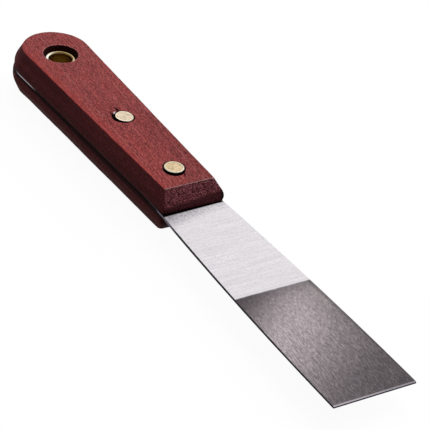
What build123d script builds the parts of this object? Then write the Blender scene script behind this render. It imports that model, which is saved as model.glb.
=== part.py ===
from build123d import *
import os
from math import acos, atan2, cos, hypot, sin

# Putty knife: a flared steel blade whose full tang is clamped between two bevelled hardwood scales
# by two-piece brass rivets, with a brass-lined hanging hole near the butt.
# Millimetres. The origin is on the hanging hole's axis, at mid thickness of the tang. +X runs towards
# the blade's tip, +Z is up out of the upper scale, and the tool is symmetric about the plane Y = 0.

# Handle: plan outline of both scales, and the bevel that runs all round their outer faces
handle_thickness = 17.0
butt_radius = 15.06
butt_centre_x = -4.0
nose_x = 97.4
nose_half_width = 11.9
wall_top_z = 3.6
side_bevel_inset = 2.15
nose_bevel_inset = 3.6
bevel_foot_radius = 6.0
face_edge_radius = 0.4
seam_edge_radius = 0.25
cut_margin = 5.0

# Blade and tang
tip_x = 208.0
tip_width = 31.75
root_width = 24.5
tang_thickness = 1.2
tip_thickness = 0.8
edge_bevel_length = 0.7
edge_land_thickness = 0.6
tang_recess = 0.5
shoulder_length = 13.0

# Brass eyelet that lines the hanging hole, with a rolled bead at each end
eyelet_bore_radius = 4.4
eyelet_tube_radius = 4.9
eyelet_bead_radius = 0.6
eyelet_recess = 1.875
eyelet_pocket_radius = 6.48

# Two-piece compression rivets: the male half has a solid shank, the female half a hollow one
rear_rivet_x = 47.5
front_rivet_x = 83.1
rivet_head_radius = 3.6
rivet_pocket_depth = 1.1
male_head_proud = 0.3
rivet_head_chamfer = 0.2
rivet_pocket_radius = 4.05
male_shank_radius = 1.6
male_shank_end_z = -5.5
female_shank_radius = 2.4
female_shank_gap = 0.5
female_bore_end_z = -6.2

# Clearances, all radial
shank_fit = 0.02
scale_hole_fit = 0.05
tang_hole_fit = 0.15

face_z = handle_thickness / 2
tang_z = tang_thickness / 2
bead_centre_z = face_z - eyelet_recess - eyelet_bead_radius
bead_seat_z = bead_centre_z - eyelet_bead_radius
head_top_z = face_z + male_head_proud
head_seat_z = face_z - rivet_pocket_depth
rivet_stations = (rear_rivet_x, front_rivet_x)


def tangent_point(corner, radius):
    """Point where the straight side from corner touches the butt's arc of this radius."""
    along = corner[0] - butt_centre_x
    angle = atan2(corner[1], along) + acos(radius / hypot(along, corner[1]))
    return (butt_centre_x + radius * cos(angle), radius * sin(angle))


def flipped(point):
    """The same point on the other side of the sketch's X axis."""
    return (point[0], -point[1])


# Blade: side view first, then trimmed to its plan outline and drilled
tip = (tip_x, tip_width / 2)
root = (nose_x, root_width / 2)
flare_length = tip_x - nose_x
flare_height = tip[1] - root[1]
flare_radius = (flare_length**2 + flare_height**2) / (2 * flare_height)
flare_middle_height = tip[1] - flare_radius + (flare_radius**2 - (flare_length / 2) ** 2) ** 0.5
flare_middle = (nose_x + flare_length / 2, flare_middle_height)
tang_butt_radius = butt_radius - tang_recess
tang_corner = (nose_x, nose_half_width - tang_recess)
tang_start = tangent_point(tang_corner, tang_butt_radius)
tang_slope = (tang_corner[1] - tang_start[1]) / (tang_corner[0] - tang_start[0])
shoulder = (nose_x - shoulder_length, tang_corner[1] - tang_slope * shoulder_length)

with BuildPart() as blade:
    with BuildSketch(Plane.XZ):
        with BuildLine():
            Polyline(
                (butt_centre_x - butt_radius, -tang_z),
                (nose_x, -tang_z),
                (tip_x - edge_bevel_length, -tip_thickness / 2),
                (tip_x, -edge_land_thickness / 2),
                (tip_x, edge_land_thickness / 2),
                (tip_x - edge_bevel_length, tip_thickness / 2),
                (nose_x, tang_z),
                (butt_centre_x - butt_radius, tang_z),
                close=True,
            )
        make_face()
    extrude(amount=tip_width, both=True)
    with BuildSketch(Plane.XY.offset(-tang_thickness)):
        with BuildLine():
            Line(flipped(tip), tip)
            ThreePointArc(tip, flare_middle, root)
            Polyline(root, shoulder, tang_start)
            ThreePointArc(tang_start, (butt_centre_x - tang_butt_radius, 0), flipped(tang_start))
            Polyline(flipped(tang_start), flipped(shoulder), flipped(root))
            ThreePointArc(flipped(root), flipped(flare_middle), flipped(tip))
        make_face()
    extrude(amount=2 * tang_thickness, mode=Mode.INTERSECT)
    with Locations((0, 0, tang_z)):
        Hole(eyelet_tube_radius + tang_hole_fit)
    with Locations([(x, 0, tang_z) for x in rivet_stations]):
        Hole(female_shank_radius + tang_hole_fit)

# Upper scale: a bar with its bevel run round the sides and butt, then cut to the nose's side view
nose_corner = (nose_x, nose_half_width)
side_start = tangent_point(nose_corner, butt_radius)
side_slope = (nose_corner[1] - side_start[1]) / (nose_corner[0] - side_start[0])
nose_bevel_slope = nose_bevel_inset / (face_z - wall_top_z)
bar_corner = (nose_x + cut_margin, nose_half_width + side_slope * cut_margin)

with BuildPart() as upper_scale:
    with BuildSketch(Plane.XY.offset(tang_z)):
        with BuildLine():
            ThreePointArc(side_start, (butt_centre_x - butt_radius, 0), flipped(side_start))
            Polyline(flipped(side_start), flipped(bar_corner), bar_corner, side_start)
        make_face()
    extrude(amount=face_z - tang_z)
    outer_face = upper_scale.faces().sort_by(Axis.Z)[-1]
    side_edges = outer_face.edges().sort_by(Axis.X)[:-1]
    chamfer(side_edges, side_bevel_inset, face_z - wall_top_z, reference=outer_face)
    foot_edges = upper_scale.edges().group_by(Axis.Z)[2].sort_by(Axis.X)[:-1]
    fillet(foot_edges, bevel_foot_radius)
    with BuildSketch(Plane.XZ):
        with BuildLine():
            FilletPolyline(
                (-nose_x, tang_z - cut_margin),
                (nose_x, tang_z - cut_margin),
                (nose_x, wall_top_z),
                (nose_x - nose_bevel_inset - nose_bevel_slope * cut_margin, face_z + cut_margin),
                (-nose_x, face_z + cut_margin),
                radius=(0, 0, bevel_foot_radius, 0, 0),
                close=True,
            )
        make_face()
    extrude(amount=2 * butt_radius, both=True, mode=Mode.INTERSECT)
    fillet(upper_scale.edges().group_by(Axis.Z)[-1], face_edge_radius)
    fillet(upper_scale.edges().group_by(Axis.Z)[0], seam_edge_radius)
    with Locations((0, 0, face_z)):
        CounterBoreHole(eyelet_tube_radius + scale_hole_fit, eyelet_pocket_radius, face_z - bead_seat_z)
    with Locations([(x, 0, face_z) for x in rivet_stations]):
        CounterBoreHole(female_shank_radius + scale_hole_fit, rivet_pocket_radius, rivet_pocket_depth)

with BuildPart() as lower_scale:
    mirror(upper_scale.part, about=Plane.XY)

# Brass eyelet: a plain tube with a round bead rolled outwards at each end
with BuildPart() as hanging_eyelet:
    with BuildSketch(Plane.XZ):
        with Locations(((eyelet_bore_radius + eyelet_tube_radius) / 2, 0)):
            Rectangle(eyelet_tube_radius - eyelet_bore_radius, 2 * bead_centre_z)
        with Locations((eyelet_bore_radius + eyelet_bead_radius, bead_centre_z)):
            Circle(eyelet_bead_radius)
        with Locations((eyelet_bore_radius + eyelet_bead_radius, -bead_centre_z)):
            Circle(eyelet_bead_radius)
    revolve(axis=Axis.Z)

# Rivet halves: turned about Z, then set down at each station. The male head stands a little proud;
# the female head is flush, so that the tool lies flat.
with BuildPart() as male_half:
    with BuildSketch(Plane.XZ):
        with BuildLine():
            Polyline(
                (0, male_shank_end_z),
                (male_shank_radius, male_shank_end_z),
                (male_shank_radius, head_seat_z),
                (rivet_head_radius, head_seat_z),
                (rivet_head_radius, head_top_z - rivet_head_chamfer),
                (rivet_head_radius - rivet_head_chamfer, head_top_z),
                (0, head_top_z),
                close=True,
            )
        make_face()
    revolve(axis=Axis.Z)

with BuildPart() as female_half:
    with BuildSketch(Plane.XZ):
        with BuildLine():
            Polyline(
                (0, -face_z),
                (rivet_head_radius - rivet_head_chamfer, -face_z),
                (rivet_head_radius, -face_z + rivet_head_chamfer),
                (rivet_head_radius, -head_seat_z),
                (female_shank_radius, -head_seat_z),
                (female_shank_radius, head_seat_z - female_shank_gap),
                (male_shank_radius + shank_fit, head_seat_z - female_shank_gap),
                (male_shank_radius + shank_fit, female_bore_end_z),
                (0, female_bore_end_z),
                close=True,
            )
        make_face()
    revolve(axis=Axis.Z)

with BuildPart() as rear_rivet_male:
    with Locations((rear_rivet_x, 0, 0)):
        add(male_half.part)

with BuildPart() as rear_rivet_female:
    with Locations((rear_rivet_x, 0, 0)):
        add(female_half.part)

with BuildPart() as front_rivet_male:
    with Locations((front_rivet_x, 0, 0)):
        add(male_half.part)

with BuildPart() as front_rivet_female:
    with Locations((front_rivet_x, 0, 0)):
        add(female_half.part)

blade.part.label = "blade"
upper_scale.part.label = "upper_scale"
lower_scale.part.label = "lower_scale"
hanging_eyelet.part.label = "hanging_eyelet"
rear_rivet_male.part.label = "rear_rivet_male"
rear_rivet_female.part.label = "rear_rivet_female"
front_rivet_male.part.label = "front_rivet_male"
front_rivet_female.part.label = "front_rivet_female"

os.makedirs("parts", exist_ok=True)
export_step(blade.part, "parts/blade.step")
export_step(upper_scale.part, "parts/upper_scale.step")
export_step(lower_scale.part, "parts/lower_scale.step")
export_step(hanging_eyelet.part, "parts/hanging_eyelet.step")
export_step(rear_rivet_male.part, "parts/rear_rivet_male.step")
export_step(rear_rivet_female.part, "parts/rear_rivet_female.step")
export_step(front_rivet_male.part, "parts/front_rivet_male.step")
export_step(front_rivet_female.part, "parts/front_rivet_female.step")
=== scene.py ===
import math

import bmesh
import bpy
from mathutils import Euler, Matrix, Vector, noise

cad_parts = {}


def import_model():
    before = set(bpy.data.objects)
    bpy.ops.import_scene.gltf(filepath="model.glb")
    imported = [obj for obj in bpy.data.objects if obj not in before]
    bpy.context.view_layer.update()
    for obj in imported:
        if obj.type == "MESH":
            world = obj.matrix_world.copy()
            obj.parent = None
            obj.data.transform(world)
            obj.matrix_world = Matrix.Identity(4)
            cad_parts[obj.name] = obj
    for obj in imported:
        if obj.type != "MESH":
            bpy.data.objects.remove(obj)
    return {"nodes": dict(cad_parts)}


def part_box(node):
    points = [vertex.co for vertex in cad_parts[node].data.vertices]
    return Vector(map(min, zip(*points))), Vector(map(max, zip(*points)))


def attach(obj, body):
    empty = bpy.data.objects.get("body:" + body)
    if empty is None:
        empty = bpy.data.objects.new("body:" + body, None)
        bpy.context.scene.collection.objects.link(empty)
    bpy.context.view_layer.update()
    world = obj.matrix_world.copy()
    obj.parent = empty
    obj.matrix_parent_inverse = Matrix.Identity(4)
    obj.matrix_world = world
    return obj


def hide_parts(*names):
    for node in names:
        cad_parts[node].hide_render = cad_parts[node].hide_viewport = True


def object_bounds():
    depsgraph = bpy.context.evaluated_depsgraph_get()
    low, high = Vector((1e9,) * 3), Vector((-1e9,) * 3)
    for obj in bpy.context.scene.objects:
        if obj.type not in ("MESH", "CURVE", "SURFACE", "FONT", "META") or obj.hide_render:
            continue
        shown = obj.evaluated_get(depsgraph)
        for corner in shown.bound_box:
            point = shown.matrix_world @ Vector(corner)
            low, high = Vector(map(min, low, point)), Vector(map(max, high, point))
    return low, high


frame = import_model()
cad_low, cad_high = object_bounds()

# noise_vector, which makes the wood's walls wander, takes its offsets from the clock unless a seed is set.
noise.seed_set(1)

# Sizes are in millimetres, and turned into metres with MM. The wood's outline comes from the nodes' boxes.
MM = 0.001
NOSE_HALF_WIDTH = 11.9
WALL_TOP = 3.6
SIDE_INSET = 2.15
NOSE_INSET = 3.6
FOOT_RADIUS = 6.0
FACE_RADIUS = 0.4
SEAM_RADIUS = 0.25
EYELET_HOLE_RADIUS = 4.95
EYELET_POCKET_RADIUS = 6.48
EYELET_BEAD = 1.2
RIVET_POCKET_GAP = 0.45
RIVET_POCKET_DEPTH = 1.1
SHANK_HOLE_RADIUS = 2.45
NOSE_X = 97.4
FINISH_CHANGE_X = 148.7
TIP_X = cad_high.x / MM
EDGE_BEVEL = 0.7
CUT_MARGIN = 2.0
EDGE_ROUNDING = 0.06

# The grain and the flecks in it run a few degrees off the handle's length.
GRAIN_TURN = 4.0
FLECK_TURN = 6.0

# Points along each stretch of the wood's outline
ARC_STEPS = 48
SIDE_STEPS = 56
CORNER_STEPS = 5
NOSE_STEPS = 18

# Hand sanding: the bevel is up to this much wider on the near side, and the far nose corner fuller this way
NEAR_WIDENING = 0.24
FAR_CORNER = Vector((0.3, 1.0, 0.0))

CAMERA_AZIMUTH = 53.72
CAMERA_ELEVATION = 33.46
CAMERA_ROLL = 8.27
CAMERA_DISTANCE = 0.7479
CAMERA_TARGET = Vector((0.1034, 0.0055, 0.0))
CAMERA_LENS = 181.6


def box_mm(node):
    """Lowest and highest corner of a CAD node, in millimetres."""
    low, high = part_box(node)
    return low / MM, high / MM


# ---------------------------------------------------------------- materials

class Shader:
    """One procedural material, with short calls for the nodes that it is made of."""

    def __init__(self, name):
        self.material = bpy.data.materials.new(name)
        self.material.use_nodes = True
        self.tree = self.material.node_tree
        self.surface = self.tree.nodes["Principled BSDF"]
        coords = self.add("ShaderNodeTexCoord").outputs["Object"]
        in_mm = {0: coords, "Scale": 1 / MM}
        self.mm = self.add("ShaderNodeVectorMath", in_mm, operation="SCALE").outputs[0]
        self.x, self.y, self.z = self.add("ShaderNodeSeparateXYZ", {0: self.mm}).outputs[:]
        facing = {0: self.add("ShaderNodeNewGeometry").outputs["Normal"]}
        self.normal_x, self.normal_y, self.normal_z = self.add("ShaderNodeSeparateXYZ", facing).outputs[:]

    def add(self, kind, inputs=None, **settings):
        """A new node. Inputs that are sockets are linked, and the others are set."""
        made = self.tree.nodes.new(kind)
        for key, value in settings.items():
            setattr(made, key, value)
        for key, value in (inputs or {}).items():
            if isinstance(value, bpy.types.NodeSocket):
                self.tree.links.new(value, made.inputs[key])
            else:
                made.inputs[key].default_value = value
        return made

    def math(self, operation, a, b=0.0):
        return self.add("ShaderNodeMath", {0: a, 1: b}, operation=operation).outputs[0]

    def plus(self, a, b):
        return self.math("ADD", a, b)

    def minus(self, a, b):
        return self.math("SUBTRACT", a, b)

    def larger(self, a, b):
        return self.math("MAXIMUM", a, b)

    def size(self, a):
        """a without its sign."""
        return self.math("ABSOLUTE", a)

    def times(self, first, *others):
        """Product of two or more numbers."""
        product = first
        for other in others:
            product = self.math("MULTIPLY", product, other)
        return product

    def step(self, value, low, high, to_low=0.0, to_high=1.0):
        """Value mapped smoothly from low..high to to_low..to_high, and held at the ends."""
        inputs = {"Value": value, 1: low, 2: high, 3: to_low, 4: to_high}
        return self.add("ShaderNodeMapRange", inputs, interpolation_type="SMOOTHSTEP").outputs[0]

    def noise(self, per_mm, detail=2.0, roughness=0.5, distortion=0.0, shift=0.0, vector=None):
        """Noise from about 0 to 1 with this many features per millimetre along X, Y and Z."""
        scaled = {0: vector or self.mm, 1: per_mm, 2: (shift, 1.7 * shift, 0.6 * shift)}
        placed = self.add("ShaderNodeVectorMath", scaled, operation="MULTIPLY_ADD").outputs[0]
        look = {"Vector": placed, "Scale": 1.0, "Detail": detail, "Roughness": roughness}
        look["Distortion"] = distortion
        return self.add("ShaderNodeTexNoise", look).outputs["Fac"]

    def turned(self, degrees):
        """The coordinates turned about Z, for grain that doesn't run quite along the part."""
        inputs = {"Vector": self.mm, "Angle": math.radians(degrees)}
        return self.add("ShaderNodeVectorRotate", inputs, rotation_type="Z_AXIS").outputs[0]

    def mix(self, factor, a, b, blend="MIX"):
        """A colour between a and b."""
        inputs = {0: factor, 6: a, 7: b}
        return self.add("ShaderNodeMix", inputs, data_type="RGBA", blend_type=blend).outputs[2]

    def tinted(self, colour, red, green, blue):
        """The colour with its channels multiplied."""
        return self.mix(1.0, colour, (red, green, blue, 1), "MULTIPLY")

    def blend(self, factor, a, b):
        """A number between a and b."""
        return self.add("ShaderNodeMix", {0: factor, 2: a, 3: b}, data_type="FLOAT").outputs[0]

    def bump(self, height, distance_mm):
        inputs = {"Height": height, "Distance": distance_mm * MM, "Strength": 1.0}
        return self.add("ShaderNodeBump", inputs).outputs[0]

    def painted_seam_shade(self):
        """1 in the painted shade of the line between the scales, which sinks a little towards the nose."""
        middle = self.step(self.x, 0.0, 70.0, -0.1, -0.75)
        return self.step(self.size(self.minus(self.z, middle)), 0.95, 0.65)

    def from_axis(self, x=0.0, y=0.0):
        """Distance in millimetres from an upright axis."""
        away_x = self.minus(self.x, x)
        away_y = self.minus(self.y, y)
        return self.math("SQRT", self.plus(self.times(away_x, away_x), self.times(away_y, away_y)))

    def finish(self, **inputs):
        """Sets the surface's inputs, and gives back the material."""
        for key, value in inputs.items():
            socket = self.surface.inputs[key.replace("_", " ")]
            if isinstance(value, bpy.types.NodeSocket):
                self.tree.links.new(value, socket)
            else:
                socket.default_value = value
        return self.material


def rgb(red, green, blue):
    """Linear colour from the 0 to 255 values of a colour picker."""
    def linear(v):
        v /= 255
        return v / 12.92 if v <= 0.04045 else ((v + 0.055) / 1.055) ** 2.4
    return (linear(red), linear(green), linear(blue), 1.0)


def grain_colour(s, shift, grain, streaks, flecks, fibres):
    """Red-brown bands with dark streaks, and with pale and dark strands, flecks, fibres and hairlines."""
    bands = s.noise((0.012, 0.20, 0.16), detail=3, distortion=0.5, shift=shift, vector=grain)
    strands = s.noise((0.05, 2.3, 2.3), detail=2, roughness=0.6, shift=shift + 43, vector=grain)
    lines = s.noise((0.012, 0.42, 0.4), detail=1, distortion=0.2, shift=shift + 31, vector=grain)
    hairlines = s.times(s.step(s.size(s.minus(lines, 0.5)), 0.014, 0.004), s.step(fibres, 0.40, 0.55))

    colour = s.mix(s.step(bands, 0.35, 0.65), rgb(186, 56, 58), rgb(200, 64, 64))
    colour = s.mix(s.step(streaks, 0.38, 0.60), s.mix(0.26, colour, rgb(128, 36, 42)), colour)
    colour = s.mix(s.times(s.step(strands, 0.50, 0.62), 0.30), colour, rgb(246, 120, 116))
    colour = s.mix(s.times(s.step(strands, 0.50, 0.38), 0.34), colour, rgb(84, 24, 32))
    colour = s.mix(s.times(s.step(flecks, 0.51, 0.58), 0.70), colour, rgb(250, 126, 120))
    colour = s.mix(s.times(s.step(flecks, 0.49, 0.42), 0.72), colour, rgb(80, 22, 30))
    colour = s.mix(s.times(s.step(fibres, 0.45, 0.75), 0.30), colour, rgb(236, 114, 108))
    return s.mix(s.times(hairlines, 0.42), colour, rgb(250, 150, 146))


def face_tones(s, colour):
    """Warms the face's near edge strip, where it is worn and has a painted highlight where the edge catches
    light. Towards the nose the near half is lighter and the far half darker.
    """
    # Wear and a painted highlight along the face's near edge.
    worn_and_lit_margin = s.times(s.step(s.y, -7.5, -11.0), s.step(s.normal_z, 0.7, 0.95), 0.40)
    colour = s.mix(worn_and_lit_margin, colour, rgb(228, 78, 72))
    near_side = s.tinted(colour, 1.12, 1.12, 1.10)
    far_side = s.tinted(colour, 0.86, 0.85, 0.86)
    across = s.mix(s.step(s.y, -9.0, 9.0), near_side, far_side)
    return s.mix(s.step(s.x, 35.0, 62.0), colour, across)


def wall_tones(s, colour, shift, side_colour):
    """Darkens and dirties the walls with blotches, and paints shade high up near the butt and a contact
    shadow low down by the underside.
    """
    wall = s.step(s.size(s.normal_z), 0.75, 0.45)
    blotches = s.noise((0.55, 2.0, 2.0), detail=4, roughness=0.8, shift=shift + 23)
    dirty = s.mix(0.60, side_colour, rgb(60, 20, 26))
    colour = s.mix(s.times(wall, 0.65), colour, s.mix(s.step(blotches, 0.40, 0.60), dirty, side_colour))
    # Painted shade high up on the walls near the butt.
    shaded = s.times(s.step(s.x, 62.0, 10.0), s.step(s.z, 4.0, 6.5), wall, 0.50)
    colour = s.mix(shaded, colour, rgb(84, 30, 36))
    # Painted contact shadow on the walls low down by the underside.
    painted_underside_shadow = s.times(wall, s.step(s.z, -6.6, -8.0), 0.75)
    return s.mix(painted_underside_shadow, colour, rgb(16, 5, 6))


def end_grain_colour(s, speckle):
    """Speckled end grain: strongest on the nose, duller at the butt, with painted shade low down and at the
    far corner.
    """
    colour = s.mix(s.step(speckle, 0.44, 0.54), rgb(18, 3, 6), rgb(160, 55, 63))
    colour = s.mix(s.step(speckle, 0.55, 0.59), colour, rgb(250, 160, 170))
    at_butt = s.mix(s.step(speckle, 0.40, 0.65), rgb(110, 46, 52), rgb(160, 82, 86))
    colour = s.mix(s.step(s.normal_x, 0.2, -0.2), colour, at_butt)
    # Painted shade on the lower part of the end grain.
    painted_low_shade = s.step(s.minus(s.z, s.times(s.y, 0.09)), 4.2, 3.1)
    colour = s.mix(s.times(painted_low_shade, 0.82), colour, rgb(76, 26, 32))
    # Painted shade at the nose's far corner.
    painted_corner_shade = s.times(s.step(s.y, 10.7, 11.8), s.step(s.z, 7.0, 4.0), 0.85)
    return s.mix(painted_corner_shade, colour, rgb(12, 2, 4))


def edge_tones(s, colour, speckle):
    """Pale wear and a painted highlight along the nose's upper edge, a dark far edge, and painted shade in
    the line between the scales.
    """
    rounded = s.times(s.step(s.normal_z, 0.62, 0.78), s.step(s.normal_z, 0.998, 0.97))
    # Wear and a painted highlight along the nose's rounded upper edge.
    worn_and_lit_nose_edge = s.times(rounded, s.step(s.normal_x, 0.06, 0.16), s.step(speckle, 0.40, 0.56, 0.25, 1.0))
    colour = s.mix(worn_and_lit_nose_edge, colour, rgb(255, 214, 214))
    far_edge = s.times(s.step(s.normal_y, 0.12, 0.35), rounded, 0.75)
    colour = s.mix(far_edge, colour, rgb(74, 24, 30))
    # Painted shade: the line between the scales is painted near black where shade falls in it.
    return s.mix(s.times(s.painted_seam_shade(), 0.92), colour, rgb(24, 10, 10))


def hardwood(name, shift, side_colour):
    """Sanded hardwood with its grain nearly along X. Another shift gives other grain."""
    s = Shader(name)
    slanted = s.turned(FLECK_TURN)
    grain = s.turned(GRAIN_TURN)
    streaks = s.noise((0.09, 1.0, 1.0), detail=4, roughness=0.6, shift=shift + 3, vector=grain)
    flecks = s.noise((0.90, 5.8, 5.8), detail=2, roughness=0.7, shift=shift + 7, vector=slanted)
    fibres = s.noise((0.30, 2.6, 2.6), detail=2, roughness=0.6, shift=shift + 13, vector=slanted)
    speckle = s.noise((2.2, 3.1, 3.1), detail=2, roughness=0.7, shift=shift + 19)
    end_grain = s.step(s.size(s.normal_x), 0.5, 0.75)

    colour = face_tones(s, grain_colour(s, shift, grain, streaks, flecks, fibres))
    colour = wall_tones(s, colour, shift, side_colour)
    worn_rim = s.times(s.step(s.from_axis(), 7.15, 6.75), s.step(fibres, 0.38, 0.62), 0.75)
    colour = s.mix(worn_rim, colour, rgb(255, 176, 176))
    colour = s.mix(end_grain, colour, end_grain_colour(s, speckle))

    height = s.plus(s.times(flecks, 0.6), s.times(fibres, 0.5))
    height = s.blend(end_grain, height, s.times(speckle, 1.6))
    return s.finish(
        Base_Color=edge_tones(s, colour, speckle),
        Roughness=s.step(streaks, 0.3, 0.7, 0.50, 0.62),
        Specular_IOR_Level=0.12,
        Normal=s.bump(height, 0.10),
    )


def cut_wood():
    """Raw wood inside the pockets and splits, painted dark for the shade in them."""
    s = Shader("cut_wood")
    rough = s.noise((1.2, 2.0, 2.0), detail=4, roughness=0.7)
    # Painted shade: dark colours for the wood inside pockets and splits.
    colour = s.mix(s.step(rough, 0.35, 0.7), rgb(38, 13, 13), rgb(66, 24, 23))
    return s.finish(Base_Color=colour, Roughness=0.8, Specular_IOR_Level=0.1, Normal=s.bump(rough, 0.2))


def splinter_wood_painted_glow():
    """Pale torn fibres with a painted glow, a faint emission that keeps them bright where they lie in shade.
    """
    s = Shader("splinter_wood_painted_glow")
    colour = s.mix(s.noise((3, 6, 6)), rgb(236, 200, 208), rgb(250, 234, 240))
    # Painted light: the fibres glow faintly.
    return s.finish(Base_Color=colour, Roughness=0.6, Emission_Color=colour, Emission_Strength=0.40)


def bright_steel(s, cross, grit):
    """Steel near the handle, brushed crosswise and stained beside the wood."""
    wide = s.noise((0.5, 0.03, 0.03), detail=3, shift=5)
    colour = s.mix(s.step(cross, 0.36, 0.64), rgb(212, 208, 212), rgb(232, 229, 232))
    colour = s.mix(s.times(s.step(wide, 0.40, 0.62), 0.12), colour, rgb(196, 190, 195))
    colour = s.mix(s.times(s.step(grit, 0.50, 0.60), 0.42), colour, rgb(170, 163, 170))
    place = s.plus(s.x, s.times(s.y, 0.20))
    stain = s.times(s.step(place, 105.0, 97.5), s.step(grit, 0.40, 0.60, 0.35, 1.0), 0.80)
    return s.mix(stain, colour, rgb(112, 101, 110))


def dark_steel(s, along):
    """Steel near the edge, ground lengthwise. Its dark tone, the lighter cloud slanting across it and the
    darker far half are painted reflection.
    """
    fine = s.noise((0.65, 5.5, 5.5), detail=2, roughness=0.7, shift=12, vector=s.turned(4.0))
    # Painted reflection: a lighter cloud slanting across the dark steel.
    cloud = s.plus(s.x, s.times(s.y, 0.73))
    colour = s.mix(s.step(cloud, 138.0, 165.0), rgb(84, 76, 80), rgb(180, 171, 175))
    colour = s.mix(s.step(cloud, 160.0, 204.0), colour, rgb(104, 97, 101))
    colour = s.mix(s.step(cloud, 200.0, 218.0), colour, rgb(90, 84, 88))
    colour = s.mix(s.step(s.x, 155.0, FINISH_CHANGE_X, 0.0, 0.30), colour, rgb(84, 76, 82))
    colour = s.mix(s.step(along, 0.40, 0.58), s.tinted(colour, 0.82, 0.81, 0.82), colour)
    colour = s.mix(s.step(fine, 0.52, 0.42), colour, s.tinted(colour, 0.60, 0.59, 0.60))
    colour = s.mix(s.step(fine, 0.52, 0.62), colour, s.tinted(colour, 1.46, 1.43, 1.36))
    from_far_edge = s.minus(s.y, s.times(s.x, 0.0371))
    colour = s.mix(s.times(s.step(from_far_edge, 7.90, 8.12), 0.40), colour, rgb(44, 38, 42))
    # Painted reflection: the far half darker.
    far_half = s.times(s.step(s.y, 1.0, 14.0), s.step(s.x, 190.0, 168.0))
    return s.mix(far_half, colour, s.tinted(colour, 0.76, 0.76, 0.75))


def rim_colour(s, grit, beside_nose, painted_shade):
    """The blade's narrow sides: brown on the tang, painted shade and a painted highlight band beside the
    nose, lilac at the tip, and painted shade in the line between the scales.
    """
    colour = s.mix(s.step(grit, 0.4, 0.65), rgb(96, 88, 100), rgb(140, 130, 146))
    colour = s.mix(s.step(s.x, 94.0, 92.5), colour, rgb(84, 62, 66))
    near_nose = s.step(s.x, 102.0, 98.0)
    # Painted shade on the rim right by the nose.
    colour = s.mix(s.times(beside_nose, near_nose), colour, rgb(48, 40, 46))
    band = s.times(s.step(s.z, 0.50, 0.30), s.step(s.z, -0.40, -0.05))
    # Painted highlight: a lit band on the rim by the nose, and the rim just past the nose lighter.
    colour = s.mix(s.times(beside_nose, s.blend(near_nose, 1.0, band)), colour, rgb(182, 169, 188))
    colour = s.mix(s.step(s.x, TIP_X - 0.5, TIP_X), colour, rgb(140, 126, 166))
    # Painted shade on the rim in the line between the scales.
    return s.mix(painted_shade, colour, rgb(26, 20, 22))


def blade_steel():
    """Ground steel, bright near the handle and dark near the edge, with a painted glint on the tang's near
    side.
    """
    s = Shader("blade_steel")
    cross = s.noise((2.2, 0.05, 0.05), detail=4, roughness=0.75)
    along = s.noise((0.14, 2.8, 2.8), detail=3, roughness=0.7, shift=9, vector=s.turned(3.0))
    grit = s.noise((2.4, 3.0, 3.0), detail=3, roughness=0.7, shift=8)
    wobble = s.times(s.minus(s.noise((0.2, 0.5, 0.5), detail=4), 0.5), 0.5)
    dark_zone = s.step(s.plus(s.x, wobble), FINISH_CHANGE_X - 0.4, FINISH_CHANGE_X + 0.4)
    # Painted shadow: a near-black line on the steel where it leaves the wood's nose, also over the tang
    # under the wood, where the steel is not metal.
    place = s.plus(s.plus(s.x, s.times(s.y, 0.03)), s.times(grit, 0.6))
    painted_shadow_by_wood = s.step(place, NOSE_X + 1.50, NOSE_X + 1.10)
    rim = s.step(s.larger(s.size(s.normal_x), s.size(s.normal_y)), 0.40, 0.62)
    beside_nose = s.times(s.step(s.x, 92.5, 95.0), s.step(s.x, 112.0, 104.0))
    # Painted shade on the tang's rim in the line between the scales, where the steel is also made half
    # metallic.
    painted_shade = s.times(s.painted_seam_shade(), s.minus(1.0, beside_nose))
    # Painted glint: a faint glow on the tang's near side by the butt.
    glint = s.times(s.step(s.x, 9.0, 3.0), s.step(s.x, -9.0, -5.0))
    glint = s.times(glint, s.times(s.step(s.z, -0.35, -0.12), s.step(s.y, 0.0, -6.0)), rim)

    bright = s.mix(painted_shadow_by_wood, bright_steel(s, cross, grit), rgb(16, 7, 8))
    colour = s.mix(dark_zone, bright, dark_steel(s, along))
    # The ground edge bevel painted lighter as a painted highlight, stronger on the near side.
    bevel = s.step(s.x, TIP_X - EDGE_BEVEL, TIP_X - EDGE_BEVEL + 0.2)
    bevel = s.times(bevel, s.step(grit, 0.40, 0.55, 0.60, 1.0), s.step(s.y, 14.0, -14.0, 0.55, 0.90))
    colour = s.mix(bevel, colour, rgb(190, 183, 188))
    roughness = s.blend(dark_zone, s.step(cross, 0.3, 0.7, 0.34, 0.46), s.step(along, 0.3, 0.7, 0.38, 0.50))
    return s.finish(
        Base_Color=s.mix(rim, colour, rim_colour(s, grit, beside_nose, painted_shade)),
        Metallic=s.minus(1.0, s.blend(rim, painted_shadow_by_wood, s.times(painted_shade, 0.5))),
        Roughness=roughness,
        Specular_IOR_Level=0.0,
        Emission_Color=rgb(190, 180, 188),
        Emission_Strength=s.times(glint, 0.55),
        Normal=s.bump(s.blend(dark_zone, cross, along), 0.012),
    )


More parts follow.
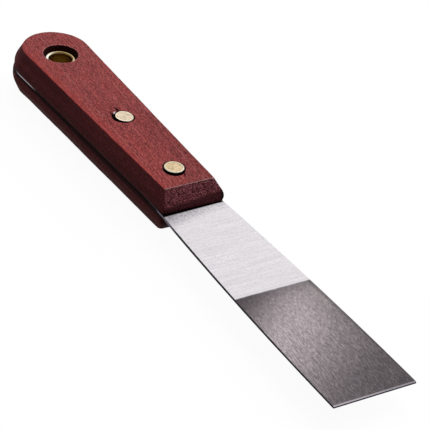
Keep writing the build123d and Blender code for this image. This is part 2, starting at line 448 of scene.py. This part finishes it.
def rivet_brass(name, tint, centre, radius):
    """Rivet head ground flat: mottled tarnish, a painted highlight along its rim, and painted shade down its
    side and beyond the rim.
    """
    s = Shader(name)
    patches = s.noise((1.1, 1.1, 1.1), detail=3, roughness=0.6, shift=2 + centre.x)
    scratches = s.noise((0.5, 6.0, 2.0), detail=4, roughness=0.7, shift=4, vector=s.turned(24.0))
    away = s.from_axis(centre.x, centre.y)
    darker = tuple(0.66 * v for v in tint[:3]) + (1.0,)
    colour = s.mix(s.step(patches, 0.44, 0.62), tint, darker)
    colour = s.mix(s.times(s.step(scratches, 0.52, 0.66), 0.35), colour, darker)
    # Painted highlight along the rim, stronger towards the nose.
    rim_highlight_strength = s.step(s.minus(s.x, centre.x), -3.6, 3.0, 0.45, 0.90)
    painted_rim_highlight = s.times(s.step(away, radius - 0.60, radius - 0.32), rim_highlight_strength)
    colour = s.mix(painted_rim_highlight, colour, rgb(255, 246, 226))
    # Painted shade down the head's side and on the crescent beyond the painted rim, where the brass is not
    # metal and rougher.
    side = s.step(s.size(s.normal_z), 0.80, 0.45)
    painted_shade = s.larger(side, s.step(away, radius - 0.10, radius + 0.10))
    return s.finish(
        Base_Color=s.mix(painted_shade, colour, rgb(26, 16, 11)),
        Metallic=s.minus(1.0, painted_shade),
        Roughness=s.plus(s.step(scratches, 0.3, 0.7, 0.34, 0.46), s.times(painted_shade, 0.3)),
        Specular_IOR_Level=0.0,
        Normal=s.bump(scratches, 0.010),
    )


def eyelet_brass():
    """Polished brass of the rolled eyelet, duller down its bore, with painted shade in its bead's crease and
    along its edges and a painted highlight on its near side.
    """
    s = Shader("eyelet_brass")
    marks = s.noise((1.5, 1.5, 4.0), detail=4, roughness=0.7, shift=4)
    deep = s.step(s.size(s.z), 6.2, 4.6)
    towards_far = s.minus(s.y, s.times(s.x, 0.5))
    distance = s.from_axis()
    crease = s.step(s.size(s.minus(distance, 5.12)), 0.16, 0.05)
    inwards = s.minus(distance, s.step(towards_far, -1.0, 3.0, 0.0, 0.22))
    edges = s.larger(s.step(distance, 5.36, 5.52), s.step(inwards, 4.72, 4.55))
    # Painted shade in the bead's crease and along its outer and inner edges.
    painted_bead_shade = s.larger(s.times(crease, 0.65), s.times(edges, 0.8))
    colour = s.mix(s.step(marks, 0.42, 0.72), rgb(222, 190, 126), rgb(186, 150, 88))
    colour = s.mix(painted_bead_shade, colour, rgb(84, 60, 26))
    # Painted highlight: the bead's near side nearly white.
    colour = s.mix(s.step(towards_far, 4.5, -3.5), colour, rgb(255, 250, 234))
    colour = s.mix(s.times(deep, 0.8), colour, rgb(200, 164, 78))
    roughness = s.plus(s.step(marks, 0.3, 0.7, 0.12, 0.24), s.times(deep, 0.12))
    return s.finish(Base_Color=colour, Metallic=1.0, Roughness=roughness, Normal=s.bump(marks, 0.010))


# ---------------------------------------------------------------- wooden scales

def profile_inset(height, full, seam, face):
    """How far the outline has moved in at this height above mid plane, for a bevel that ends full mm in."""
    angle = math.atan(full / (face - WALL_TOP))
    seam_top = seam + SEAM_RADIUS
    if height < seam_top:
        return SEAM_RADIUS - math.sqrt(max(0.0, SEAM_RADIUS**2 - (seam_top - height) ** 2))
    foot_start = WALL_TOP - FOOT_RADIUS * math.tan(angle / 2)
    foot_end = foot_start + FOOT_RADIUS * math.sin(angle)
    if height < foot_start:
        return 0.0
    if height < foot_end:
        return FOOT_RADIUS - math.sqrt(FOOT_RADIUS**2 - (height - foot_start) ** 2)
    edge_centre = face - FACE_RADIUS
    edge_start = edge_centre + FACE_RADIUS * math.sin(angle)
    if height < edge_start:
        return (height - WALL_TOP) * math.tan(angle)
    centre_inset = (edge_centre - WALL_TOP) * math.tan(angle) + FACE_RADIUS / math.cos(angle)
    return centre_inset - math.sqrt(max(0.0, FACE_RADIUS**2 - (height - edge_centre) ** 2))


def held(value):
    """The value, held between 0 and 1."""
    return min(1.0, max(0.0, value))


def widening(x, y, high, narrowing, start):
    """Share that sanding added to the bevel's width: near side only, from start, less towards the nose."""
    near = held(-y / NOSE_HALF_WIDTH)
    along = held(x / (high.x - 10))
    begun = held((x - start) / 14)
    return near * begun * (NEAR_WIDENING - narrowing * along)


def corner_fullness(x, y, up, high):
    """0 to 1 where the nose's far corner is fuller than drawn. up is 0 at the seam and 1 at the face."""
    along = held((x - high.x + 22) / 20)
    across = held(y / NOSE_HALF_WIDTH) ** 3
    return along * across * math.sin(math.pi * up**0.6)


def handle_outline(low, high, side_inset, nose_inset, corner):
    """Closed plan outline of the handle, moved in by these amounts at its sides and at its nose."""
    butt_radius = (high.y - low.y) / 2
    centre_x = low.x + butt_radius
    along = high.x - centre_x
    reach = math.hypot(along, NOSE_HALF_WIDTH)
    touch = math.atan2(NOSE_HALF_WIDTH, along) + math.acos(butt_radius / reach)
    radius = butt_radius - side_inset
    start = (centre_x + radius * math.cos(touch), radius * math.sin(touch))
    front_x = high.x - nose_inset
    front_y = start[1] - (front_x - start[0]) / math.tan(touch)
    side_end = (front_x - corner, start[1] - (front_x - corner - start[0]) / math.tan(touch))
    turn_centre = (front_x - corner, front_y - corner)
    points = []
    for i in range(ARC_STEPS):
        turn = touch + (2 * math.pi - 2 * touch) * i / ARC_STEPS
        points.append((centre_x + radius * math.cos(turn), radius * math.sin(turn)))
    side = []
    for i in range(SIDE_STEPS):
        t = i / SIDE_STEPS
        side.append((start[0] + (side_end[0] - start[0]) * t, start[1] + (side_end[1] - start[1]) * t))
    for i in range(CORNER_STEPS):
        turn = math.pi / 2 * (1 - i / CORNER_STEPS)
        side.append((turn_centre[0] + corner * math.cos(turn), turn_centre[1] + corner * math.sin(turn)))
    points += [(x, -y) for x, y in side]
    for i in range(NOSE_STEPS + 1):
        points.append((front_x, turn_centre[1] * (2 * i / NOSE_STEPS - 1)))
    points += list(reversed(side[1:]))
    return points


def profile_heights(seam, face):
    """Heights of the rings that the wood is built from, closest together where it is rounded."""
    heights = [seam + SEAM_RADIUS * (1 - math.cos(math.pi / 2 * i / 4)) for i in range(4)]
    first, last = seam + SEAM_RADIUS, face - FACE_RADIUS * 0.75
    heights += [first + (last - first) * i / 16 for i in range(16)]
    start = math.asin(0.25)
    heights += [face - FACE_RADIUS * (1 - math.sin(start + (math.pi / 2 - start) * i / 8)) for i in range(9)]
    return heights


def stitched(shape, rings):
    """Joins closed rings of vertices into a skin, and closes its two ends."""
    count = len(rings[0])
    for lower, upper in zip(rings, rings[1:]):
        for i in range(count):
            j = (i + 1) % count
            shape.faces.new((lower[i], lower[j], upper[j], upper[i]))
    shape.faces.new(list(reversed(rings[0])))
    shape.faces.new(rings[-1])


def object_from(shape, name, material):
    """New object with this name and material from the shape, which is used up."""
    bmesh.ops.recalc_face_normals(shape, faces=shape.faces)
    mesh = bpy.data.meshes.new(name)
    shape.to_mesh(mesh)
    shape.free()
    mesh.materials.append(material)
    made = bpy.data.objects.new(name, mesh)
    bpy.context.scene.collection.objects.link(made)
    return made


def wooden_scale(name, node, material, corner, narrowing, start, fullness, shift, seed):
    """Solid wood body of one scale, hand-sanded so that its walls wander by a tenth or so."""
    low, high = box_mm(node)
    flip = -1 if high.z < 0 else 1
    seam, face = sorted((abs(low.z), abs(high.z)))
    shape = bmesh.new()
    rings = []
    for height in profile_heights(seam, face):
        side = profile_inset(height, SIDE_INSET, seam, face)
        nose = profile_inset(height, NOSE_INSET, seam, face)
        drawn = handle_outline(low, high, side, nose, corner)
        upright = handle_outline(low, high, 0.0, nose, corner)
        ring = []
        for (x, y), (wall_x, wall_y) in zip(drawn, upright):
            extra = widening(x, y, high, narrowing, start)
            up = (height - seam) / (face - seam)
            place = Vector((x + extra * (x - wall_x), y + extra * (y - wall_y), height * flip))
            place += FAR_CORNER * fullness * corner_fullness(x, y, up, high)
            wander = noise.noise_vector(place * 0.06 + Vector((seed, 0, 0))) * 0.10
            wander += noise.noise_vector(place * 0.35 + Vector((seed, 5, 0))) * 0.05
            wander.z = 0
            ring.append(shape.verts.new((place + wander + shift) * MM))
        rings.append(ring)
    stitched(shape, rings)
    return object_from(shape, name, material)


def cutter_from(shape):
    """Object for a Boolean cut. Its material is left on the faces that it cuts."""
    return object_from(shape, "cutter", raw_wood)


def turned_cutter(centre_x, profile, wear, segments):
    """Cutter turned about Z at this station, from (radius, height) pairs. wear adds to each radius."""
    shape = bmesh.new()
    rings = []
    for radius, height in profile:
        ring = []
        for i in range(segments):
            angle = 2 * math.pi * i / segments
            r = radius + wear(angle, radius)
            place = Vector((centre_x + r * math.cos(angle), r * math.sin(angle), height))
            ring.append(shape.verts.new(place * MM))
        rings.append(ring)
    stitched(shape, rings)
    return cutter_from(shape)


def split_cutter(start, end, width, top, depth):
    """Thin boat-shaped cutter for a short split along the grain, open at the wood's face."""
    shape = bmesh.new()
    steps = 12
    left, right, keel = [], [], []
    for i in range(steps + 1):
        t = i / steps
        middle = start.lerp(end, t) + Vector((0, 0.12 * math.sin(5 * t), 0))
        half = width / 2 * (math.sin(math.pi * t) ** 0.7 + 0.04)
        left.append(shape.verts.new((middle + Vector((0, half, top))) * MM))
        right.append(shape.verts.new((middle + Vector((0, -half, top))) * MM))
        keel.append(shape.verts.new((middle + Vector((0, 0, top - depth))) * MM))
    for i in range(steps):
        shape.faces.new((left[i], left[i + 1], right[i + 1], right[i]))
        shape.faces.new((left[i], keel[i], keel[i + 1], left[i + 1]))
        shape.faces.new((right[i + 1], keel[i + 1], keel[i], right[i]))
    shape.faces.new((left[0], right[0], keel[0]))
    shape.faces.new((left[-1], keel[-1], right[-1]))
    return cutter_from(shape)


def cut(target, cutters):
    """Takes the cutters out of target and removes them."""
    for cutter in cutters:
        modifier = target.modifiers.new("cut", "BOOLEAN")
        modifier.operation = "DIFFERENCE"
        modifier.solver = "EXACT"
        modifier.material_mode = "TRANSFER"
        modifier.object = cutter
        graph = bpy.context.evaluated_depsgraph_get()
        mesh = bpy.data.meshes.new_from_object(target.evaluated_get(graph))
        target.modifiers.clear()
        target.data = mesh
        bpy.data.objects.remove(cutter)
    target.data.polygons.foreach_set("use_smooth", [True] * len(target.data.polygons))
    target.data.set_sharp_from_angle(angle=math.radians(32))


def mirrored_profile(profile, flip):
    """The profile, turned over for the lower scale."""
    if flip > 0:
        return profile
    return [(radius, -height) for radius, height in reversed(profile)]


def eyelet_wear(angle, radius):
    """Roughness of the eyelet pocket's wall. Its hole is smooth."""
    if radius < EYELET_POCKET_RADIUS - 1:
        return 0.0
    return 0.05 * noise.noise(Vector((3 * math.cos(angle), 3 * math.sin(angle), radius)))


def rivet_wear(centre_x, pocket, towards, most):
    """Wear of a rivet pocket's wall, greatest towards this angle in degrees. Its hole is smooth."""
    def wear(angle, radius):
        if radius < pocket - 0.5:
            return 0.0
        worn = most * max(0.0, math.cos(angle - math.radians(towards))) ** 2
        return worn + 0.10 * noise.noise(Vector((2 * math.cos(angle), 2 * math.sin(angle), centre_x)))
    return wear


def eyelet_cutter(seam, face, flip):
    """Cutter for the eyelet's hole and pocket, with the pocket's mouth eased."""
    floor_height = box_mm("hanging_eyelet")[1].z - EYELET_BEAD
    profile = [
        (EYELET_HOLE_RADIUS, seam - CUT_MARGIN),
        (EYELET_HOLE_RADIUS, floor_height),
        (EYELET_POCKET_RADIUS - 0.1, floor_height + 0.02),
        (EYELET_POCKET_RADIUS, floor_height + 0.3),
        (EYELET_POCKET_RADIUS, face - 0.25),
        (EYELET_POCKET_RADIUS + 0.05, face - 0.10),
        (EYELET_POCKET_RADIUS + 0.22, face + 0.05),
        (EYELET_POCKET_RADIUS + 0.22, face + CUT_MARGIN),
    ]
    return turned_cutter(0.0, mirrored_profile(profile, flip), eyelet_wear, 128)


def rivet_cutter(rivet, towards, most, seam, face, flip):
    """Cutter for a rivet's hole and pocket, worn most towards this angle in degrees."""
    low, high = box_mm(rivet)
    centre_x = (low.x + high.x) / 2
    pocket = (high.x - low.x) / 2 + RIVET_POCKET_GAP
    floor_height = face - RIVET_POCKET_DEPTH
    profile = [
        (SHANK_HOLE_RADIUS, seam - CUT_MARGIN),
        (SHANK_HOLE_RADIUS, floor_height),
        (pocket - 0.02, floor_height + 0.02),
        (pocket, floor_height + 0.2),
        (pocket, face - 0.15),
        (pocket + 0.12, face + 0.05),
        (pocket + 0.12, face + CUT_MARGIN),
    ]
    wear = rivet_wear(centre_x, pocket, towards, most)
    return turned_cutter(centre_x, mirrored_profile(profile, flip), wear, 96)


def bore_scale(scale, node, splits):
    """Cuts the eyelet's and the rivets' pockets and holes, and any splits, into a scale."""
    low, high = box_mm(node)
    flip = -1 if high.z < 0 else 1
    seam, face = sorted((abs(low.z), abs(high.z)))
    cutters = [
        eyelet_cutter(seam, face, flip),
        rivet_cutter("rear_rivet_male", -110, 0.36, seam, face, flip),
        rivet_cutter("front_rivet_male", -32, 1.35, seam, face, flip),
    ]
    cut(scale, cutters + splits)


def add_splinter(scale, place, material):
    """Joins a small torn splinter to the wood, standing up out of a pocket's rim."""
    shape = bmesh.new()
    shape.from_mesh(scale.data)
    slot = len(scale.data.materials)
    ball = bmesh.ops.create_icosphere(shape, subdivisions=2, radius=1.0)
    for vert in ball["verts"]:
        rough = 1.0 + 0.35 * noise.noise(vert.co * 1.7 + Vector((3, 0, 0)))
        vert.co = Vector((vert.co.x * 0.60, vert.co.y * 0.34, vert.co.z * 0.34)) * rough
        vert.co.rotate(Euler((0.3, 0.2, -0.9)))
        vert.co = (vert.co + place) * MM
    for face in {face for vert in ball["verts"] for face in vert.link_faces}:
        face.material_index = slot
    shape.to_mesh(scale.data)
    shape.free()
    scale.data.materials.append(material)


raw_wood = cut_wood()
upper_face = box_mm("upper_scale")[1].z
rear_x = sum(corner.x for corner in box_mm("rear_rivet_male")) / 2
front_x = sum(corner.x for corner in box_mm("front_rivet_male")) / 2

upper_wood = wooden_scale(
    "upper_scale_wood",
    "upper_scale",
    hardwood("hardwood_upper", 0.0, rgb(144, 80, 88)),
    corner=0.35,
    narrowing=0.40,
    start=-40.0,
    fullness=0.68,
    shift=Vector((0, 0, 0)),
    seed=1.0,
)
rear_split = Vector((rear_x - 7.1, 0.05, 0)), Vector((rear_x - 3.2, 0.20, 0))
rear_crack = Vector((rear_x - 5.5, -3.0, 0)), Vector((rear_x - 2.2, -3.4, 0))
front_split = Vector((front_x + 3.4, 1.5, 0)), Vector((front_x + 6.1, 1.15, 0))
splits = [
    split_cutter(*rear_split, width=1.05, top=upper_face + 0.3, depth=1.8),
    split_cutter(*rear_crack, width=0.50, top=upper_face + 0.2, depth=0.9),
    split_cutter(*front_split, width=0.60, top=upper_face + 0.2, depth=1.1),
]
bore_scale(upper_wood, "upper_scale", splits)
add_splinter(upper_wood, Vector((rear_x - 3.45, -1.90, upper_face + 0.12)), splinter_wood_painted_glow())

lower_wood = wooden_scale(
    "lower_scale_wood",
    "lower_scale",
    hardwood("hardwood_lower", 40.0, rgb(184, 96, 96)),
    corner=1.5,
    narrowing=0.24,
    start=-12.0,
    fullness=0.0,
    shift=Vector((-0.25, -0.2, 0)),
    seed=9.0,
)
bore_scale(lower_wood, "lower_scale", [])
for piece, node in ((upper_wood, "upper_scale"), (lower_wood, "lower_scale")):
    piece.visible_glossy = False
    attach(piece, "root")
    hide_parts(node)

# ---------------------------------------------------------------- metal pieces, kept from the CAD

def eased(obj, material):
    """Gives a CAD node its material and a fine rounding along its sharp edges."""
    obj.data.materials.clear()
    obj.data.materials.append(material)
    merge = obj.modifiers.new("flat", "DECIMATE")
    merge.decimate_type = "DISSOLVE"
    merge.angle_limit = math.radians(0.5)
    ease = obj.modifiers.new("ease", "BEVEL")
    ease.width = EDGE_ROUNDING * MM
    ease.segments = 2
    ease.limit_method = "ANGLE"
    ease.angle_limit = math.radians(25)
    ease.harden_normals = True


nodes = frame["nodes"]
# Centres of each rivet's painted rim highlight and painted shade; the rear one is off its axis, which widens
# the shade on one side.
rear_painted_rim_centre = Vector((rear_x + 0.14, 0.44))
front_painted_rim_centre = Vector((front_x, 0.0))
rear_brass = rivet_brass("rear_rivet_brass", rgb(232, 212, 186), rear_painted_rim_centre, 3.45)
front_brass = rivet_brass("front_rivet_brass", rgb(222, 198, 158), front_painted_rim_centre, 3.62)
eased(nodes["blade"], blade_steel())
nodes["hanging_eyelet"].data.materials.clear()
nodes["hanging_eyelet"].data.materials.append(eyelet_brass())
for half in ("male", "female"):
    eased(nodes[f"rear_rivet_{half}"], rear_brass)
    eased(nodes[f"front_rivet_{half}"], front_brass)

# ---------------------------------------------------------------- stage, light and camera

def floor():
    """Pale floor under the lower scale. It looks pale to the camera and throws little light back up."""
    mesh = bpy.data.meshes.new("floor")
    half = 3.0
    level = cad_low.z - 0.0001
    corners = [(-half, -half, level), (half, -half, level), (half, half, level), (-half, half, level)]
    mesh.from_pydata(corners, [], [(0, 1, 2, 3)])
    made = bpy.data.objects.new("floor", mesh)
    bpy.context.scene.collection.objects.link(made)
    material = bpy.data.materials.new("floor")
    material.use_nodes = True
    tree = material.node_tree
    add, link = tree.nodes.new, tree.links.new
    seen = tree.nodes["Principled BSDF"]
    seen.inputs["Base Color"].default_value = (0.12, 0.12, 0.12, 1)
    seen.inputs["Roughness"].default_value = 0.9
    seen.inputs["Specular IOR Level"].default_value = 0.0
    seen.inputs["Emission Color"].default_value = (1, 1, 1, 1)
    seen.inputs["Emission Strength"].default_value = 0.95
    matt = add("ShaderNodeBsdfDiffuse")
    matt.inputs["Color"].default_value = (0.18, 0.18, 0.18, 1)
    glow = add("ShaderNodeEmission")
    glow.inputs["Strength"].default_value = 0.22
    path = add("ShaderNodeLightPath")
    in_gloss = add("ShaderNodeMixShader")
    link(path.outputs["Is Glossy Ray"], in_gloss.inputs[0])
    link(matt.outputs[0], in_gloss.inputs[1])
    link(glow.outputs[0], in_gloss.inputs[2])
    choose = add("ShaderNodeMixShader")
    link(path.outputs["Is Camera Ray"], choose.inputs[0])
    link(in_gloss.outputs[0], choose.inputs[1])
    link(seen.outputs[0], choose.inputs[2])
    link(choose.outputs[0], tree.nodes["Material Output"].inputs["Surface"])
    mesh.materials.append(material)


def world():
    """White to the camera. It lights the knife softly from above and behind; metal mirrors a pale room."""
    made = bpy.data.worlds.new("studio")
    bpy.context.scene.world = made
    made.use_nodes = True
    tree = made.node_tree
    tree.nodes.clear()
    add = tree.nodes.new
    coords = add("ShaderNodeTexCoord")
    facing = add("ShaderNodeVectorMath")
    facing.operation = "DOT_PRODUCT"
    facing.inputs[1].default_value = Vector((-0.40, 0.75, 0.53)).normalized()
    tree.links.new(coords.outputs["Generated"], facing.inputs[0])
    spread = add("ShaderNodeMapRange")
    spread.interpolation_type = "SMOOTHSTEP"
    spread.inputs["From Min"].default_value = 0.40
    spread.inputs["From Max"].default_value = 0.80
    spread.inputs["To Min"].default_value = 0.05
    spread.inputs["To Max"].default_value = 1.45
    tree.links.new(facing.outputs["Value"], spread.inputs["Value"])
    path = add("ShaderNodeLightPath")
    room = add("ShaderNodeMath")
    room.operation = "MULTIPLY"
    room.inputs[1].default_value = 0.8
    tree.links.new(path.outputs["Is Glossy Ray"], room.inputs[0])
    strength = add("ShaderNodeMath")
    strength.operation = "MAXIMUM"
    tree.links.new(spread.outputs[0], strength.inputs[0])
    tree.links.new(room.outputs[0], strength.inputs[1])
    light = add("ShaderNodeBackground")
    tree.links.new(strength.outputs[0], light.inputs["Strength"])
    backdrop = add("ShaderNodeBackground")
    backdrop.inputs["Color"].default_value = (1, 1, 1, 1)
    backdrop.inputs["Strength"].default_value = 1.0
    choose = add("ShaderNodeMixShader")
    tree.links.new(path.outputs["Is Camera Ray"], choose.inputs[0])
    tree.links.new(light.outputs[0], choose.inputs[1])
    tree.links.new(backdrop.outputs[0], choose.inputs[2])
    output = add("ShaderNodeOutputWorld")
    tree.links.new(choose.outputs[0], output.inputs["Surface"])


def camera():
    """Long lens looking down the blade towards the butt, rolled a little clockwise."""
    azimuth, elevation = math.radians(CAMERA_AZIMUTH), math.radians(CAMERA_ELEVATION)
    back = Vector((
        math.sin(azimuth) * math.cos(elevation),
        -math.cos(azimuth) * math.cos(elevation),
        math.sin(elevation),
    ))
    data = bpy.data.cameras.new("camera")
    data.lens = CAMERA_LENS
    data.sensor_width = 36.0
    data.clip_start = 0.01
    data.clip_end = 20.0
    made = bpy.data.objects.new("camera", data)
    bpy.context.scene.collection.objects.link(made)
    turn = (-back).to_track_quat("-Z", "Y").to_matrix() @ Matrix.Rotation(math.radians(CAMERA_ROLL), 3, "Z")
    made.matrix_world = Matrix.Translation(CAMERA_TARGET + back * CAMERA_DISTANCE) @ turn.to_4x4()
    bpy.context.scene.camera = made


floor()
world()
camera()
bpy.context.scene.view_settings.view_transform = "Standard"
